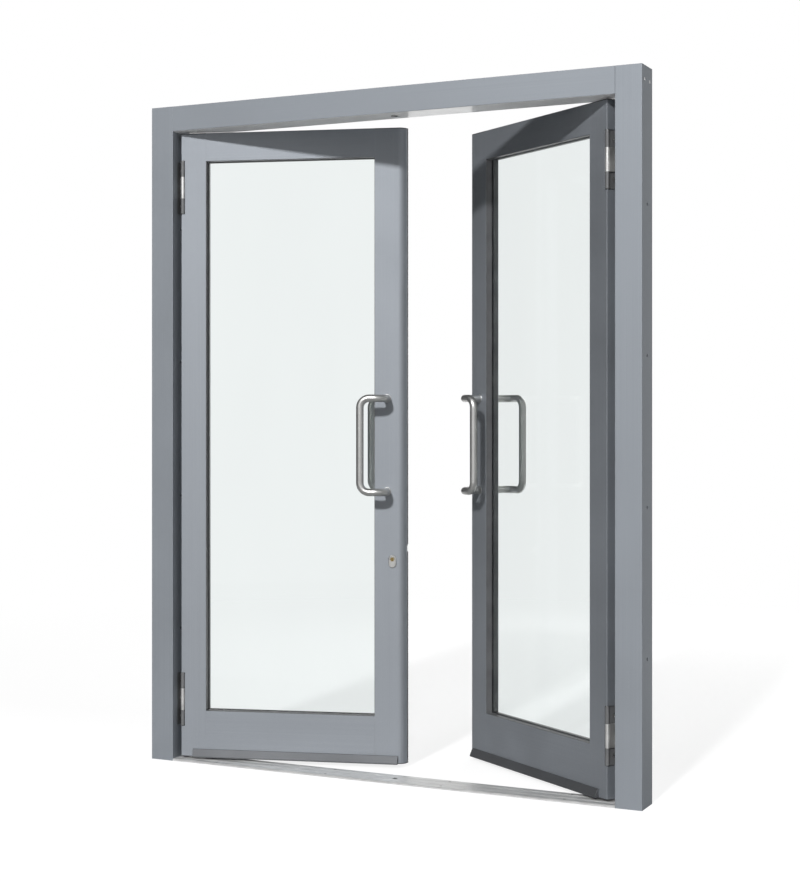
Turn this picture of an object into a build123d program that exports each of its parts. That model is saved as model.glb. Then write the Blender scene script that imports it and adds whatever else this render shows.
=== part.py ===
from build123d import *
import math
import os

os.makedirs("parts", exist_ok=True)

# Aluminium double door with its frame, in millimetres.
# +X is to the right seen from the front, +Y to the rear, +Z up; the origin is on the floor,
# at the middle of the threshold. The leaves stand open to the rear, as they are seen.

# Opening of each leaf, in degrees
left_open_angle = 15.5
right_open_angle = 34.5
hands = {"left": 1, "right": -1}

# Frame
frame_width = 1680.0
frame_height = 2150.0
frame_face = 82.0
frame_depth = 100.0
frame_wall = 3.0
jamb_inner_wall = 6.5
frame_edge = 1.5
cleat_length = 60.0
cleat_play = 0.3
jamb_plug_height = 12.0
head_screw_length = 125.0
head_screw_spacing = 50.0

# Threshold
threshold_height = 7.0
threshold_bevel = 3.5
threshold_screw_margin = 160.0
threshold_screw_count = 4
threshold_screw_row = 34.0

# Wall anchors through the jambs
anchor_radius = 5.5
anchor_heights = [430.0, 870.0, 1310.0, 1750.0]

# Countersunk screws
screw_radius = 2.5
screw_head_radius = 4.8
screw_head_depth = 2.3
screw_play = 0.2

# Leaf
leaf_thickness = 54.0
hinge_gap = 5.0
meeting_gap = 3.0
head_gap = 6.0
foot_gap = 6.0
hinge_stile_width = 84.0
meeting_stile_width = 103.0
top_rail_height = 92.0
bottom_rail_height = 151.0
profile_wall = 3.0
stile_edge = 1.5
rebate_depth = 16.0
cap_thickness = 2.5
cap_plug_height = 8.0
cap_play = 0.3

# Glazing
glass_thickness = 10.0
glass_clearance = 4.0
gasket_thickness = 4.0
gasket_flap = 1.2
gasket_setback = 1.0
bead_bevel = 2.0
bead_play = 0.3
setting_block_length = 90.0

# Double-acting barrel hinges
hinge_foot_rise = 187.0
hinge_head_drop = 177.0
barrel_radius = 7.0
barrel_inset = 4.0
barrel_depth = 5.0
barrel_play = 1.0
outer_knuckle = 50.0
middle_knuckle = 71.0
knuckle_play = 0.3
pin_radius = 3.5
pin_play = 0.05
pin_head_radius = 5.2
pin_head_height = 2.0
flange_thickness = 3.5
flange_play = 0.1
web_thickness = 3.0
web_offset = 0.5
flange_screw_spacing = 58.0
flange_screw_length = 13.0

# Cranked pull handles
handle_height = 1040.0
handle_spacing = 300.0
handle_radius = 12.0
handle_projection = 70.0
handle_crank = 75.0
handle_bend = 30.0
handle_setback = 63.0
stud_radius = 4.0
stud_grip = 20.0
stud_play = 0.1

# Foot of the leaf
drip_bar_height = 26.0
drip_bar_depth = 14.0
drip_bar_top = 4.0
drip_bar_start = 40.0
brush_width = 8.0
brush_groove = 8.0
brush_drop = 5.0
brush_play = 0.2

# Meeting seal
seal_width = 6.0
seal_groove = 2.0
seal_drop = 1.8

# Lock in the left leaf
lock_drop = 225.0
lock_setback = 45.0
case_height = 150.0
case_thickness = 20.0
case_setback = 14.0
cylinder_width = 17.0
cylinder_height = 33.0
cylinder_stand = 4.5
lock_play = 0.2
plug_radius = 6.5
plug_rise = 7.0
plug_stand = 1.0
key_slot_width = 2.0
key_slot_height = 8.5
key_slot_depth = 6.0
turn_stem = 4.0
turn_stem_radius = 6.0
turn_length = 28.0
turn_width = 8.0
turn_depth = 16.0
escutcheon_margin = 4.0
escutcheon_thickness = 4.0
escutcheon_bevel = 1.2
deadbolt_rise = 42.0
deadbolt_height = 20.0
deadbolt_thickness = 10.0
deadbolt_length = 50.0
deadbolt_inset = 1.0
deadbolt_edge = 1.5
deadbolt_play = 0.3
strike_wall = 2.0
strike_depth = 26.0
strike_play = 1.0

# Flush bolts in the right leaf
bolt_radius = 6.0
bolt_play = 0.06
bolt_length = 330.0
bolt_inset = 0.5
bolt_travels = {"top": 18.0, "bottom": 12.0}
knob_height = 14.0
knob_width = 7.0
knob_reach_play = 0.8
knob_slot_play = 0.5
guide_height = 25.0
guide_length = 24.0
keep_bore_play = 0.8
keep_wall = 2.2
keep_flange = 4.0
keep_flange_height = 1.5
keep_depth = 14.0

# One overrun serves all cuts
overrun = 2.0

# Worked-out sizes
open_angles = {"left": left_open_angle, "right": right_open_angle}
jamb_face_x = frame_width / 2 - frame_face
head_bottom = frame_height - frame_face
clear_width = frame_width - 2 * frame_face
leaf_bottom = threshold_height + foot_gap
leaf_top = head_bottom - head_gap
leaf_width = jamb_face_x - hinge_gap - meeting_gap / 2
nose_radius = leaf_thickness / 2
lip_depth = (leaf_thickness - glass_thickness - 2 * gasket_thickness) / 2
sight_bottom = leaf_bottom + bottom_rail_height
sight_top = leaf_top - top_rail_height
sight_height = sight_top - sight_bottom
sight_end = leaf_width - meeting_stile_width
sight_width = sight_end - hinge_stile_width
body_start = hinge_stile_width - rebate_depth
body_end = sight_end + rebate_depth
edge_margin = rebate_depth - glass_clearance
notch_width = barrel_inset + barrel_radius + barrel_play
notch_depth = barrel_depth + barrel_radius + barrel_play
hinge_edge_wall = notch_width + profile_wall
hinge_heights = [leaf_bottom + hinge_foot_rise, leaf_top - hinge_head_drop]
hinge_height = 2 * outer_knuckle + middle_knuckle + 2 * knuckle_play
knuckle_starts = [0, outer_knuckle + knuckle_play, outer_knuckle + middle_knuckle + 2 * knuckle_play]
rear_axis = leaf_thickness - barrel_depth
flange_middle = leaf_thickness / 2
rod_setback = nose_radius
handle_ends = [handle_height - handle_spacing / 2, handle_height + handle_spacing / 2]
lock_height = handle_ends[0] - lock_drop
deadbolt_height_at = lock_height + deadbolt_rise


def along(side):
    """Direction from the hinge edge to the meeting edge of a leaf."""
    angle = math.radians(open_angles[side])
    return Vector(hands[side] * math.cos(angle), math.sin(angle), 0)


def rear(side):
    """Direction from the front face to the rear face of a leaf."""
    angle = math.radians(open_angles[side])
    return Vector(-hands[side] * math.sin(angle), math.cos(angle), 0)


def leaf_point(side, s, n, z):
    """Point of an open leaf: s from its hinge edge, n from its front face, z from the floor."""
    axis_x = -hands[side] * (jamb_face_x - hinge_gap - barrel_inset)
    axis = Vector(axis_x, rear_axis - leaf_thickness / 2, z)
    return axis + along(side) * (s - barrel_inset) + rear(side) * (n - rear_axis)


def plan(side, s, n, z, toward=1):
    """Level plane on a leaf: x along the leaf (or against it), y to the rear."""
    up = Vector(0, 0, hands[side] * toward)
    return Plane(origin=leaf_point(side, s, n, z), x_dir=along(side) * toward, z_dir=up)


def across(side, s, z):
    """Plane across a leaf: x to the rear from the front face, y up."""
    return Plane(origin=leaf_point(side, s, 0, z), x_dir=rear(side), z_dir=along(side) * hands[side])


def facing(side, s, n, z):
    """Plane in a leaf: x along the leaf, y up; a length times the hand goes to the front."""
    return Plane(origin=leaf_point(side, s, n, z), x_dir=along(side), z_dir=rear(side) * -hands[side])


def jamb_plane(side, z):
    """Level plane on a closed leaf's hinge corner: x away from the jamb, y to the rear."""
    corner = Vector(-hands[side] * (jamb_face_x - hinge_gap), -leaf_thickness / 2, z)
    return Plane(origin=corner, x_dir=(hands[side], 0, 0), z_dir=(0, 0, hands[side]))


def jamb_wall(side, n, z):
    """Plane on a jamb's inner face, at the middle of a hinge: x to the rear, y up, facing the leaf."""
    point = Vector(-hands[side] * jamb_face_x, n - leaf_thickness / 2, z)
    return Plane(origin=point, x_dir=(0, hands[side], 0), z_dir=(hands[side], 0, 0))


def keep(piece, name):
    """Label a finished piece and write it."""
    piece.part.label = name
    export_step(piece.part, f"parts/{name}.step")


# Countersunk screws lie along -z of the plane that carries their heads
def screw_heads(plane, places, play=0):
    with BuildSketch(plane) as heads:
        with Locations(*places):
            Circle(screw_head_radius + play)
    return heads.sketch


def screw_shanks(plane, places, play=0):
    with BuildSketch(plane) as shanks:
        with Locations(*places):
            Circle(screw_radius + play)
    return shanks.sketch


sink_angle = math.degrees(math.atan((screw_head_radius - screw_radius) / screw_head_depth))

flange_screw_places = [(0, -flange_screw_spacing), (0, 0), (0, flange_screw_spacing)]
head_screw_places = [(-head_screw_spacing / 2, 0), (head_screw_spacing / 2, 0)]
threshold_run = clear_width - 2 * threshold_screw_margin
threshold_places = [
    (threshold_run * (index / (threshold_screw_count - 1) - 1 / 2), row)
    for index in range(threshold_screw_count)
    for row in (-threshold_screw_row, threshold_screw_row)
]
bolt_keep_x = jamb_face_x - hinge_gap - leaf_width + rod_setback
keep_radius = bolt_radius + keep_bore_play + keep_wall


# Frame jambs: box extrusions with a thicker wall on the hinge side
jamb_hollow_width = frame_face - frame_wall - jamb_inner_wall
jamb_hollow_depth = frame_depth - 2 * frame_wall
for side, hand in hands.items():
    jamb_x = -hand * (frame_width - frame_face) / 2
    hollow_x = -hand * (frame_width / 2 - frame_wall - jamb_hollow_width / 2)
    outer_face = Plane(origin=(-hand * frame_width / 2, 0, 0), x_dir=(0, -hand, 0), z_dir=(-hand, 0, 0))
    head_screw_plane = outer_face.offset(0)
    head_screw_plane.origin = outer_face.origin + Vector(0, 0, frame_height - frame_face / 2)
    with BuildPart() as jamb:
        with BuildSketch(Plane.XY):
            with Locations((jamb_x, 0)):
                RectangleRounded(frame_face, frame_depth, frame_edge)
            with Locations((hollow_x, 0)):
                Rectangle(jamb_hollow_width, jamb_hollow_depth, mode=Mode.SUBTRACT)
        extrude(amount=frame_height)
        with BuildSketch(outer_face):
            with Locations(*[(0, height) for height in anchor_heights]):
                Circle(anchor_radius)
        extrude(amount=-(frame_face + overrun), mode=Mode.SUBTRACT)
        for height in hinge_heights:
            wall_plane = jamb_wall(side, flange_middle, height)
            with BuildSketch(wall_plane):
                Rectangle(2 * (rear_axis - flange_middle), hinge_height + 2 * flange_play)
                with Locations((hand * (rear_axis - flange_middle), 0)):
                    Rectangle(2 * barrel_radius, hinge_height + 2 * flange_play)
            extrude(amount=-flange_thickness, mode=Mode.SUBTRACT)
            extrude(screw_shanks(wall_plane, flange_screw_places, screw_play),
                    amount=-flange_screw_length, mode=Mode.SUBTRACT)
        extrude(screw_heads(head_screw_plane, head_screw_places, screw_play),
                amount=-screw_head_depth, taper=sink_angle, mode=Mode.SUBTRACT)
        extrude(screw_shanks(head_screw_plane, head_screw_places, screw_play),
                amount=-(frame_face + overrun), mode=Mode.SUBTRACT)
    keep(jamb, f"frame_{side}_jamb")

# Plugs that close the ends of the jambs
with BuildPart() as plugs:
    for hand in hands.values():
        hollow_x = -hand * (frame_width / 2 - frame_wall - jamb_hollow_width / 2)
        for foot in (0, frame_height - jamb_plug_height):
            with BuildSketch(Plane.XY.offset(foot)):
                with Locations((hollow_x, 0)):
                    Rectangle(jamb_hollow_width - 2 * cleat_play, jamb_hollow_depth - 2 * cleat_play)
            extrude(amount=jamb_plug_height)
keep(plugs, "jamb_plugs")

# Frame head: a box extrusion between the jambs, with a hole for the top bolt's keep
with BuildPart() as head:
    with BuildSketch(Plane.YZ.offset(-clear_width / 2)):
        with Locations((0, frame_height - frame_face / 2)):
            RectangleRounded(frame_depth, frame_face, frame_edge)
            Rectangle(jamb_hollow_depth, frame_face - 2 * frame_wall, mode=Mode.SUBTRACT)
    extrude(amount=clear_width)
    with BuildSketch(Plane.XY.offset(head_bottom - overrun)):
        with Locations((bolt_keep_x, 0)):
            Circle(keep_radius)
    extrude(amount=frame_wall + 2 * overrun, mode=Mode.SUBTRACT)
keep(head, "frame_head")

# Cleats: blocks inside the ends of the head, drawn against the jambs by the screws
with BuildPart() as cleats:
    for hand in hands.values():
        with BuildSketch(Plane.YZ.offset(-hand * clear_width / 2)):
            with Locations((0, frame_height - frame_face / 2)):
                Rectangle(jamb_hollow_depth - 2 * cleat_play, frame_face - 2 * frame_wall - 2 * cleat_play)
        extrude(amount=hand * cleat_length)
        end_plane = Plane(origin=(-hand * clear_width / 2, 0, frame_height - frame_face / 2),
                          x_dir=(0, -hand, 0), z_dir=(-hand, 0, 0))
        extrude(screw_shanks(end_plane, head_screw_places, screw_play),
                amount=-(cleat_length + overrun), mode=Mode.SUBTRACT)
keep(cleats, "head_cleats")

with BuildPart() as head_screws:
    for hand in hands.values():
        head_plane = Plane(origin=(-hand * frame_width / 2, 0, frame_height - frame_face / 2),
                           x_dir=(0, -hand, 0), z_dir=(-hand, 0, 0))
        extrude(screw_heads(head_plane, head_screw_places), amount=-screw_head_depth, taper=sink_angle)
        extrude(screw_shanks(head_plane, head_screw_places), amount=-head_screw_length)
keep(head_screws, "head_screws")

# Threshold: a flat plate with bevelled long edges
threshold_top = Plane.XY.offset(threshold_height)
with BuildPart() as threshold:
    with BuildSketch(Plane.YZ.offset(-clear_width / 2)):
        with BuildLine():
            Polyline(
                (-frame_depth / 2, 0),
                (frame_depth / 2, 0),
                (frame_depth / 2, threshold_height - threshold_bevel),
                (frame_depth / 2 - threshold_bevel, threshold_height),
                (-frame_depth / 2 + threshold_bevel, threshold_height),
                (-frame_depth / 2, threshold_height - threshold_bevel),
                close=True,
            )
        make_face()
    extrude(amount=clear_width)
    with BuildSketch(threshold_top):
        with Locations((bolt_keep_x, 0)):
            Circle(keep_radius)
    extrude(amount=-(threshold_height + overrun), mode=Mode.SUBTRACT)
    extrude(screw_heads(threshold_top, threshold_places, screw_play),
            amount=-screw_head_depth, taper=sink_angle, mode=Mode.SUBTRACT)
    extrude(screw_shanks(threshold_top, threshold_places, screw_play),
            amount=-(threshold_height + overrun), mode=Mode.SUBTRACT)
keep(threshold, "threshold")

with BuildPart() as threshold_screws:
    extrude(screw_heads(threshold_top, threshold_places), amount=-screw_head_depth, taper=sink_angle)
    extrude(screw_shanks(threshold_top, threshold_places), amount=-threshold_height)
keep(threshold_screws, "threshold_screws")

# Keeps: a flanged bush in the head's soffit and a plain bush in the threshold
with BuildPart() as keeps:
    with BuildSketch(Plane.XY.offset(head_bottom)):
        with Locations((bolt_keep_x, 0)):
            Circle(keep_radius)
    extrude(amount=keep_depth)
    with BuildSketch(Plane.XY.offset(head_bottom)):
        with Locations((bolt_keep_x, 0)):
            Circle(keep_radius + keep_flange)
    extrude(amount=-keep_flange_height)
    with BuildSketch(Plane.XY):
        with Locations((bolt_keep_x, 0)):
            Circle(keep_radius)
    extrude(amount=threshold_height)
    with BuildSketch(Plane.XY.offset(-overrun)):
        with Locations((bolt_keep_x, 0)):
            Circle(bolt_radius + keep_bore_play)
    extrude(amount=frame_height, mode=Mode.SUBTRACT)
keep(keeps, "bolt_keeps")


# Hinges: three castings on two barrels, so that a leaf swings to the rear on one, to the front on the other
for side, hand in hands.items():
    with BuildPart() as jamb_flanges:
        for height in hinge_heights:
            foot = height - hinge_height / 2
            wall_plane = jamb_wall(side, flange_middle, height)
            with BuildSketch(jamb_plane(side, foot)):
                with Locations((-hinge_gap - flange_thickness / 2, flange_middle)):
                    Rectangle(flange_thickness, 2 * (rear_axis - flange_middle) - 2 * flange_play)
            extrude(amount=hand * hinge_height)
            for start in (knuckle_starts[0], knuckle_starts[2]):
                with BuildSketch(jamb_plane(side, foot + start)):
                    with Locations((barrel_inset, rear_axis)):
                        Circle(barrel_radius)
                    with Locations(((barrel_inset - hinge_gap - flange_thickness) / 2, rear_axis)):
                        Rectangle(barrel_inset + hinge_gap + flange_thickness, barrel_radius)
                extrude(amount=hand * outer_knuckle)
            with BuildSketch(jamb_plane(side, foot)):
                with Locations((barrel_inset, rear_axis)):
                    Circle(pin_radius + pin_play)
            extrude(amount=hand * hinge_height, mode=Mode.SUBTRACT)
            extrude(screw_heads(wall_plane, flange_screw_places, screw_play),
                    amount=-screw_head_depth, taper=sink_angle, mode=Mode.SUBTRACT)
            extrude(screw_shanks(wall_plane, flange_screw_places, screw_play),
                    amount=-(flange_thickness + overrun), mode=Mode.SUBTRACT)
    keep(jamb_flanges, f"{side}_hinge_jamb_flanges")

    with BuildPart() as links:
        for height in hinge_heights:
            foot = height - hinge_height / 2
            with BuildSketch(plan(side, 0, 0, foot + knuckle_starts[1])):
                with Locations((barrel_inset, barrel_depth), (barrel_inset, rear_axis)):
                    Circle(barrel_radius)
                with Locations((-web_offset - web_thickness / 2, leaf_thickness / 2)):
                    Rectangle(web_thickness, rear_axis - barrel_depth)
                with Locations((barrel_inset, barrel_depth), (barrel_inset, rear_axis)):
                    Circle(pin_radius + pin_play, mode=Mode.SUBTRACT)
            extrude(amount=hand * middle_knuckle)
    keep(links, f"{side}_hinge_links")

    with BuildPart() as leaf_flanges:
        for height in hinge_heights:
            foot = height - hinge_height / 2
            plate_plane = Plane(origin=leaf_point(side, 0, flange_middle, height),
                                x_dir=rear(side) * -hand, z_dir=along(side) * -1)
            with BuildSketch(plan(side, 0, 0, foot)):
                with Locations((flange_thickness / 2, flange_middle)):
                    Rectangle(flange_thickness, leaf_thickness - 2 * notch_depth)
            extrude(amount=hand * hinge_height)
            for start in (knuckle_starts[0], knuckle_starts[2]):
                with BuildSketch(plan(side, 0, 0, foot + start)):
                    with Locations((barrel_inset, barrel_depth)):
                        Circle(barrel_radius)
                    with Locations((flange_thickness / 2, (barrel_depth + flange_middle) / 2)):
                        Rectangle(flange_thickness, flange_middle - barrel_depth)
                extrude(amount=hand * outer_knuckle)
            with BuildSketch(plan(side, 0, 0, foot)):
                with Locations((barrel_inset, barrel_depth)):
                    Circle(pin_radius + pin_play)
            extrude(amount=hand * hinge_height, mode=Mode.SUBTRACT)
            extrude(screw_heads(plate_plane, flange_screw_places, screw_play),
                    amount=-screw_head_depth, taper=sink_angle, mode=Mode.SUBTRACT)
            extrude(screw_shanks(plate_plane, flange_screw_places, screw_play),
                    amount=-(flange_thickness + overrun), mode=Mode.SUBTRACT)
    keep(leaf_flanges, f"{side}_hinge_leaf_flanges")

    with BuildPart() as leaf_pins:
        for height in hinge_heights:
            foot = height - hinge_height / 2
            with BuildSketch(plan(side, barrel_inset, barrel_depth, foot)):
                Circle(pin_radius)
            extrude(amount=hand * hinge_height)
            with BuildSketch(plan(side, barrel_inset, barrel_depth, foot + hinge_height)):
                Circle(pin_head_radius)
            extrude(amount=hand * pin_head_height)
    keep(leaf_pins, f"{side}_hinge_leaf_pins")

    with BuildPart() as leaf_screws:
        for height in hinge_heights:
            plate_plane = Plane(origin=leaf_point(side, 0, flange_middle, height),
                                x_dir=rear(side) * -hand, z_dir=along(side) * -1)
            extrude(screw_heads(plate_plane, flange_screw_places),
                    amount=-screw_head_depth, taper=sink_angle)
            extrude(screw_shanks(plate_plane, flange_screw_places), amount=-flange_screw_length)
    keep(leaf_screws, f"{side}_hinge_leaf_screws")

with BuildPart() as jamb_pins:
    for side, hand in hands.items():
        for height in hinge_heights:
            foot = height - hinge_height / 2
            with BuildSketch(plan(side, barrel_inset, rear_axis, foot)):
                Circle(pin_radius)
            extrude(amount=hand * hinge_height)
            with BuildSketch(plan(side, barrel_inset, rear_axis, foot + hinge_height)):
                Circle(pin_head_radius)
            extrude(amount=hand * pin_head_height)
keep(jamb_pins, "hinge_jamb_pins")

with BuildPart() as jamb_screws:
    for side in hands:
        for height in hinge_heights:
            wall_plane = jamb_wall(side, flange_middle, height)
            extrude(screw_heads(wall_plane, flange_screw_places), amount=-screw_head_depth, taper=sink_angle)
            extrude(screw_shanks(wall_plane, flange_screw_places), amount=-flange_screw_length)
keep(jamb_screws, "hinge_jamb_screws")


# Leaf profiles, drawn from the outer edge inwards and from the front face to the rear
def hinge_stile_outline(plane):
    with BuildSketch(plane) as outline:
        with BuildLine():
            Polyline(
                (0, 0),
                (hinge_stile_width, 0),
                (hinge_stile_width, lip_depth),
                (body_start, lip_depth),
                (body_start, leaf_thickness),
                (0, leaf_thickness),
                close=True,
            )
        make_face()
    return outline.sketch


def hinge_stile_hollow(plane, play=0):
    with BuildSketch(plane) as hollow:
        with Locations(((hinge_edge_wall + body_start - profile_wall) / 2, leaf_thickness / 2)):
            Rectangle(body_start - profile_wall - hinge_edge_wall - 2 * play,
                      leaf_thickness - 2 * profile_wall - 2 * play)
    return hollow.sketch


def meeting_stile_outline(plane):
    body = meeting_stile_width - rebate_depth
    with BuildSketch(plane) as outline:
        with BuildLine():
            Polyline(
                (nose_radius, 0),
                (meeting_stile_width, 0),
                (meeting_stile_width, lip_depth),
                (body, lip_depth),
                (body, leaf_thickness),
                (nose_radius, leaf_thickness),
            )
            ThreePointArc((nose_radius, leaf_thickness), (0, nose_radius), (nose_radius, 0))
        make_face()
    return outline.sketch


def meeting_stile_hollow(plane, play=0):
    body = meeting_stile_width - rebate_depth - profile_wall - play
    inset = profile_wall + play
    with BuildSketch(plane) as hollow:
        with BuildLine():
            Polyline(
                (nose_radius, inset),
                (body, inset),
                (body, leaf_thickness - inset),
                (nose_radius, leaf_thickness - inset),
            )
            ThreePointArc((nose_radius, leaf_thickness - inset), (inset, nose_radius), (nose_radius, inset))
        make_face()
    return hollow.sketch


stile_foot = leaf_bottom + cap_thickness
stile_length = leaf_top - leaf_bottom - 2 * cap_thickness
handle_start = leaf_width - handle_setback
knob_centres = {"top": leaf_top - bolt_length + guide_height + knob_height,
                "bottom": leaf_bottom + bolt_length - guide_height - knob_height}

for side, hand in hands.items():
    # Hinge stile, with its front and rear corners cut back at the hinges and a seat for the flange
    with BuildPart() as hinge_stile:
        extrude(hinge_stile_outline(plan(side, 0, 0, stile_foot)), amount=hand * stile_length)
        from_hinge = Axis(leaf_point(side, 0, 0, 0), along(side))
        fillet(hinge_stile.edges().filter_by(Axis.Z).group_by(from_hinge)[0], radius=stile_edge)
        extrude(hinge_stile_hollow(plan(side, 0, 0, stile_foot)),
                amount=hand * stile_length, mode=Mode.SUBTRACT)
        for height in hinge_heights:
            foot = height - hinge_height / 2 - pin_head_height - knuckle_play
            notch_height = hinge_height + 2 * (pin_head_height + knuckle_play)
            with BuildSketch(plan(side, 0, 0, foot)):
                with Locations(((notch_width - overrun) / 2, (notch_depth - overrun) / 2),
                               ((notch_width - overrun) / 2, leaf_thickness - (notch_depth - overrun) / 2)):
                    Rectangle(notch_width + overrun, notch_depth + overrun)
            extrude(amount=hand * notch_height, mode=Mode.SUBTRACT)
            with BuildSketch(plan(side, 0, 0, foot)):
                with Locations(((flange_thickness - overrun) / 2, leaf_thickness / 2)):
                    Rectangle(flange_thickness + overrun, leaf_thickness - notch_depth)
            extrude(amount=hand * notch_height, mode=Mode.SUBTRACT)
            plate_plane = Plane(origin=leaf_point(side, 0, flange_middle, height),
                                x_dir=rear(side) * -hand, z_dir=along(side) * -1)
            extrude(screw_shanks(plate_plane, flange_screw_places, screw_play),
                    amount=-(flange_screw_length + overrun), mode=Mode.SUBTRACT)
    keep(hinge_stile, f"{side}_hinge_stile")

    # Meeting stile with a bullnose edge, holes for the handles and the slots of its leaf's lock pieces
    with BuildPart() as meeting_stile:
        tip_plane = plan(side, leaf_width, 0, stile_foot, toward=-1)
        extrude(meeting_stile_outline(tip_plane), amount=-hand * stile_length)
        extrude(meeting_stile_hollow(tip_plane), amount=-hand * stile_length, mode=Mode.SUBTRACT)
        with BuildSketch(facing(side, handle_start, -overrun, 0)):
            with Locations(*[(0, height) for height in handle_ends]):
                Circle(stud_radius + stud_play)
        extrude(amount=-hand * (leaf_thickness + 2 * overrun), mode=Mode.SUBTRACT)
        if side == "left":
            with BuildSketch(facing(side, leaf_width - lock_setback, -overrun, lock_height)):
                SlotOverall(cylinder_height + 2 * lock_play, cylinder_width + 2 * lock_play, rotation=90)
            extrude(amount=-hand * (leaf_thickness + 2 * overrun), mode=Mode.SUBTRACT)
            with BuildSketch(across(side, leaf_width - nose_radius, deadbolt_height_at)):
                with Locations((leaf_thickness / 2, 0)):
                    Rectangle(deadbolt_thickness + 2 * deadbolt_play, deadbolt_height + 2 * deadbolt_play)
            extrude(amount=hand * (nose_radius + overrun), mode=Mode.SUBTRACT)
            with BuildSketch(plan(side, leaf_width, leaf_thickness / 2, leaf_bottom)):
                Rectangle(2 * seal_groove, seal_width)
            extrude(amount=hand * (leaf_top - leaf_bottom), mode=Mode.SUBTRACT)
        else:
            with BuildSketch(across(side, leaf_width - nose_radius, deadbolt_height_at)):
                with Locations((leaf_thickness / 2, 0)):
                    Rectangle(deadbolt_thickness + 2 * strike_play, deadbolt_height + 2 * strike_play)
            extrude(amount=hand * (nose_radius + overrun), mode=Mode.SUBTRACT)
            for end, travel in bolt_travels.items():
                lift = travel if end == "top" else -travel
                with BuildSketch(across(side, leaf_width - nose_radius, knob_centres[end] + lift / 2)):
                    with Locations((leaf_thickness / 2, 0)):
                        Rectangle(knob_width + 2 * knob_slot_play, knob_height + travel + 2 * knob_slot_play)
                extrude(amount=hand * (nose_radius + overrun), mode=Mode.SUBTRACT)
    keep(meeting_stile, f"{side}_meeting_stile")

    # Rails: hollow extrusions coped round the front lips of the stiles
    with BuildPart() as top_rail:
        with BuildSketch(across(side, body_start, sight_top)):
            with BuildLine():
                Polyline(
                    (0, 0),
                    (lip_depth, 0),
                    (lip_depth, rebate_depth),
                    (leaf_thickness, rebate_depth),
                    (leaf_thickness, top_rail_height),
                    (0, top_rail_height),
                    close=True,
                )
            make_face()
            with Locations((leaf_thickness / 2, (rebate_depth + top_rail_height) / 2)):
                Rectangle(leaf_thickness - 2 * profile_wall,
                          top_rail_height - rebate_depth - 2 * profile_wall, mode=Mode.SUBTRACT)
        extrude(amount=hand * (body_end - body_start))
        with BuildSketch(facing(side, 0, lip_depth, sight_top + top_rail_height / 2)):
            with Locations((hinge_stile_width - rebate_depth / 2, 0), (sight_end + rebate_depth / 2, 0)):
                Rectangle(rebate_depth, top_rail_height + overrun)
        extrude(amount=hand * (lip_depth + overrun), mode=Mode.SUBTRACT)
    keep(top_rail, f"{side}_top_rail")

    with BuildPart() as bottom_rail:
        with BuildSketch(across(side, body_start, leaf_bottom)):
            with BuildLine():
                Polyline(
                    (0, 0),
                    (leaf_thickness, 0),
                    (leaf_thickness, bottom_rail_height - rebate_depth),
                    (lip_depth, bottom_rail_height - rebate_depth),
                    (lip_depth, bottom_rail_height),
                    (0, bottom_rail_height),
                    close=True,
                )
            make_face()
            floor = brush_groove + profile_wall
            ceiling = bottom_rail_height - rebate_depth - profile_wall
            with Locations((leaf_thickness / 2, (floor + ceiling) / 2)):
                Rectangle(leaf_thickness - 2 * profile_wall, ceiling - floor, mode=Mode.SUBTRACT)
            with Locations((leaf_thickness / 2, (brush_groove - overrun) / 2)):
                Rectangle(brush_width, brush_groove + overrun, mode=Mode.SUBTRACT)
        extrude(amount=hand * (body_end - body_start))
        with BuildSketch(facing(side, 0, lip_depth, leaf_bottom + bottom_rail_height / 2)):
            with Locations((hinge_stile_width - rebate_depth / 2, 0), (sight_end + rebate_depth / 2, 0)):
                Rectangle(rebate_depth, bottom_rail_height + overrun)
        extrude(amount=hand * (lip_depth + overrun), mode=Mode.SUBTRACT)
    keep(bottom_rail, f"{side}_bottom_rail")

    # Plastic caps plugged into the ends of the stiles
    with BuildPart() as caps:
        for height, plug_up in ((leaf_bottom, 1), (leaf_top, -1)):
            extrude(hinge_stile_outline(plan(side, 0, 0, height)), amount=hand * plug_up * cap_thickness)
            extrude(hinge_stile_hollow(plan(side, 0, 0, height), cap_play),
                    amount=hand * plug_up * (cap_thickness + cap_plug_height))
            tip_plane = plan(side, leaf_width, 0, height, toward=-1)
            extrude(meeting_stile_outline(tip_plane), amount=-hand * plug_up * cap_thickness)
            extrude(meeting_stile_hollow(tip_plane, cap_play),
                    amount=-hand * plug_up * (cap_thickness + cap_plug_height))
        if side == "right":
            with BuildSketch(plan(side, leaf_width - rod_setback, leaf_thickness / 2, leaf_bottom)):
                Circle(bolt_radius + bolt_play)
            extrude(amount=hand * (leaf_top - leaf_bottom), mode=Mode.SUBTRACT)
        else:
            with BuildSketch(plan(side, leaf_width, leaf_thickness / 2, leaf_bottom)):
                Rectangle(2 * seal_groove, seal_width)
            extrude(amount=hand * (leaf_top - leaf_bottom), mode=Mode.SUBTRACT)
    keep(caps, f"{side}_stile_caps")

    # Glass and what holds it in the rebate
    glass_front = lip_depth + gasket_thickness
    with BuildPart() as glass:
        with BuildSketch(facing(side, (hinge_stile_width + sight_end) / 2, glass_front,
                                (sight_bottom + sight_top) / 2)):
            Rectangle(sight_width + 2 * edge_margin, sight_height + 2 * edge_margin)
        extrude(amount=-hand * glass_thickness)
    keep(glass, f"{side}_glass_pane")

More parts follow.
